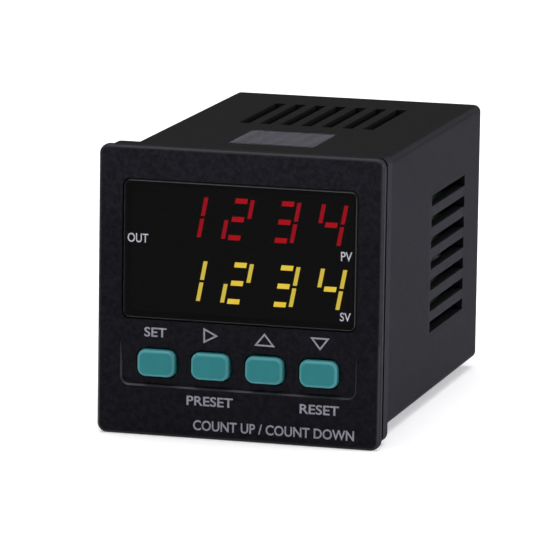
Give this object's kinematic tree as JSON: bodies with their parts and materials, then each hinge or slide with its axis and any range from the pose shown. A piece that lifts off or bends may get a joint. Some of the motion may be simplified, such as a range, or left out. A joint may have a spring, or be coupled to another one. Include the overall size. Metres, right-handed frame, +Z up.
{
  "type": "panel counter",
  "caption": "Square panel-mount counter with a smoked display window, soft-edged keys in a slanted recess, a vented black housing and screw terminals at the rear.",
  "frame": {"origin": "centre of the panel cut-out, in the plane where the flange seats on the panel", "axes": "+Z up, the front faces -Y, the housing runs back through the panel along +Y"},
  "size_m": [0.048, 0.0829, 0.048],
  "materials": {
    "housing_plastic": "fine spark-textured black",
    "bezel_plastic": "fine spark-textured black",
    "smoked_lens": "smoked, polished",
    "key_plastic": "teal, satin",
    "plunger_plastic": "natural",
    "switch_plastic": "black",
    "board_laminate": "green solder mask",
    "display_shell": "black",
    "red_light": "lit, red",
    "yellow_light": "lit, yellow",
    "dark_bar": "unlit, milky dark",
    "lamp_plastic": "unlit, red diffused",
    "core_steel": "varnished laminations",
    "bobbin_nylon": "natural",
    "winding_copper": "enamelled copper",
    "capacitor_sleeve": "dark blue sleeve",
    "chip_epoxy": "black epoxy",
    "relay_case": "blue",
    "tinned_lead": "tinned",
    "opto_plastic": "off-white",
    "gold_pin": "gold flash",
    "terminal_plastic": "green",
    "clamp_nickel": "nickel plated",
    "screw_steel": "zinc plated"
  },
  "bodies": {
    "counter": {"housing": "housing_plastic", "front_bezel": "bezel_plastic", "display_lens": "smoked_lens", "tact_switches": "switch_plastic", "display_board": "board_laminate", "count_display": "display_shell", "count_lit_bars": "red_light", "count_dark_bars": "dark_bar", "preset_display": "display_shell", "preset_lit_bars": "yellow_light", "preset_dark_bars": "dark_bar", "output_lamp": "lamp_plastic", "power_board": "board_laminate", "logic_board": "board_laminate", "transformer_core": "core_steel", "transformer_bobbin": "bobbin_nylon", "transformer_winding": "winding_copper", "filter_capacitors": "capacitor_sleeve", "bridge_rectifier": "chip_epoxy", "voltage_regulator": "chip_epoxy", "output_relay": "relay_case", "microcontroller": "chip_epoxy", "microcontroller_leads": "tinned_lead", "optocouplers": "opto_plastic", "header_strips": "switch_plastic", "header_pins": "gold_pin", "left_terminal_block": "terminal_plastic", "right_terminal_block": "terminal_plastic", "terminal_clamps": "clamp_nickel", "terminal_screws": "screw_steel"},
    "set_button": {"set_key": "key_plastic", "set_plunger": "plunger_plastic"},
    "shift_button": {"shift_key": "key_plastic", "shift_plunger": "plunger_plastic"},
    "up_button": {"up_key": "key_plastic", "up_plunger": "plunger_plastic"},
    "down_button": {"down_key": "key_plastic", "down_plunger": "plunger_plastic"}
  },
  "joints": [
    {"name": "set_press", "type": "slide", "parent": "counter", "child": "set_button", "axis": [0, 1, 0], "range_m": [0, 0.0004], "stiffness_N_per_m": 2000},
    {"name": "shift_press", "type": "slide", "parent": "counter", "child": "shift_button", "axis": [0, 1, 0], "range_m": [0, 0.0004], "stiffness_N_per_m": 2000},
    {"name": "up_press", "type": "slide", "parent": "counter", "child": "up_button", "axis": [0, 1, 0], "range_m": [0, 0.0004], "stiffness_N_per_m": 2000},
    {"name": "down_press", "type": "slide", "parent": "counter", "child": "down_button", "axis": [0, 1, 0], "range_m": [0, 0.0004], "stiffness_N_per_m": 2000}
  ]
}
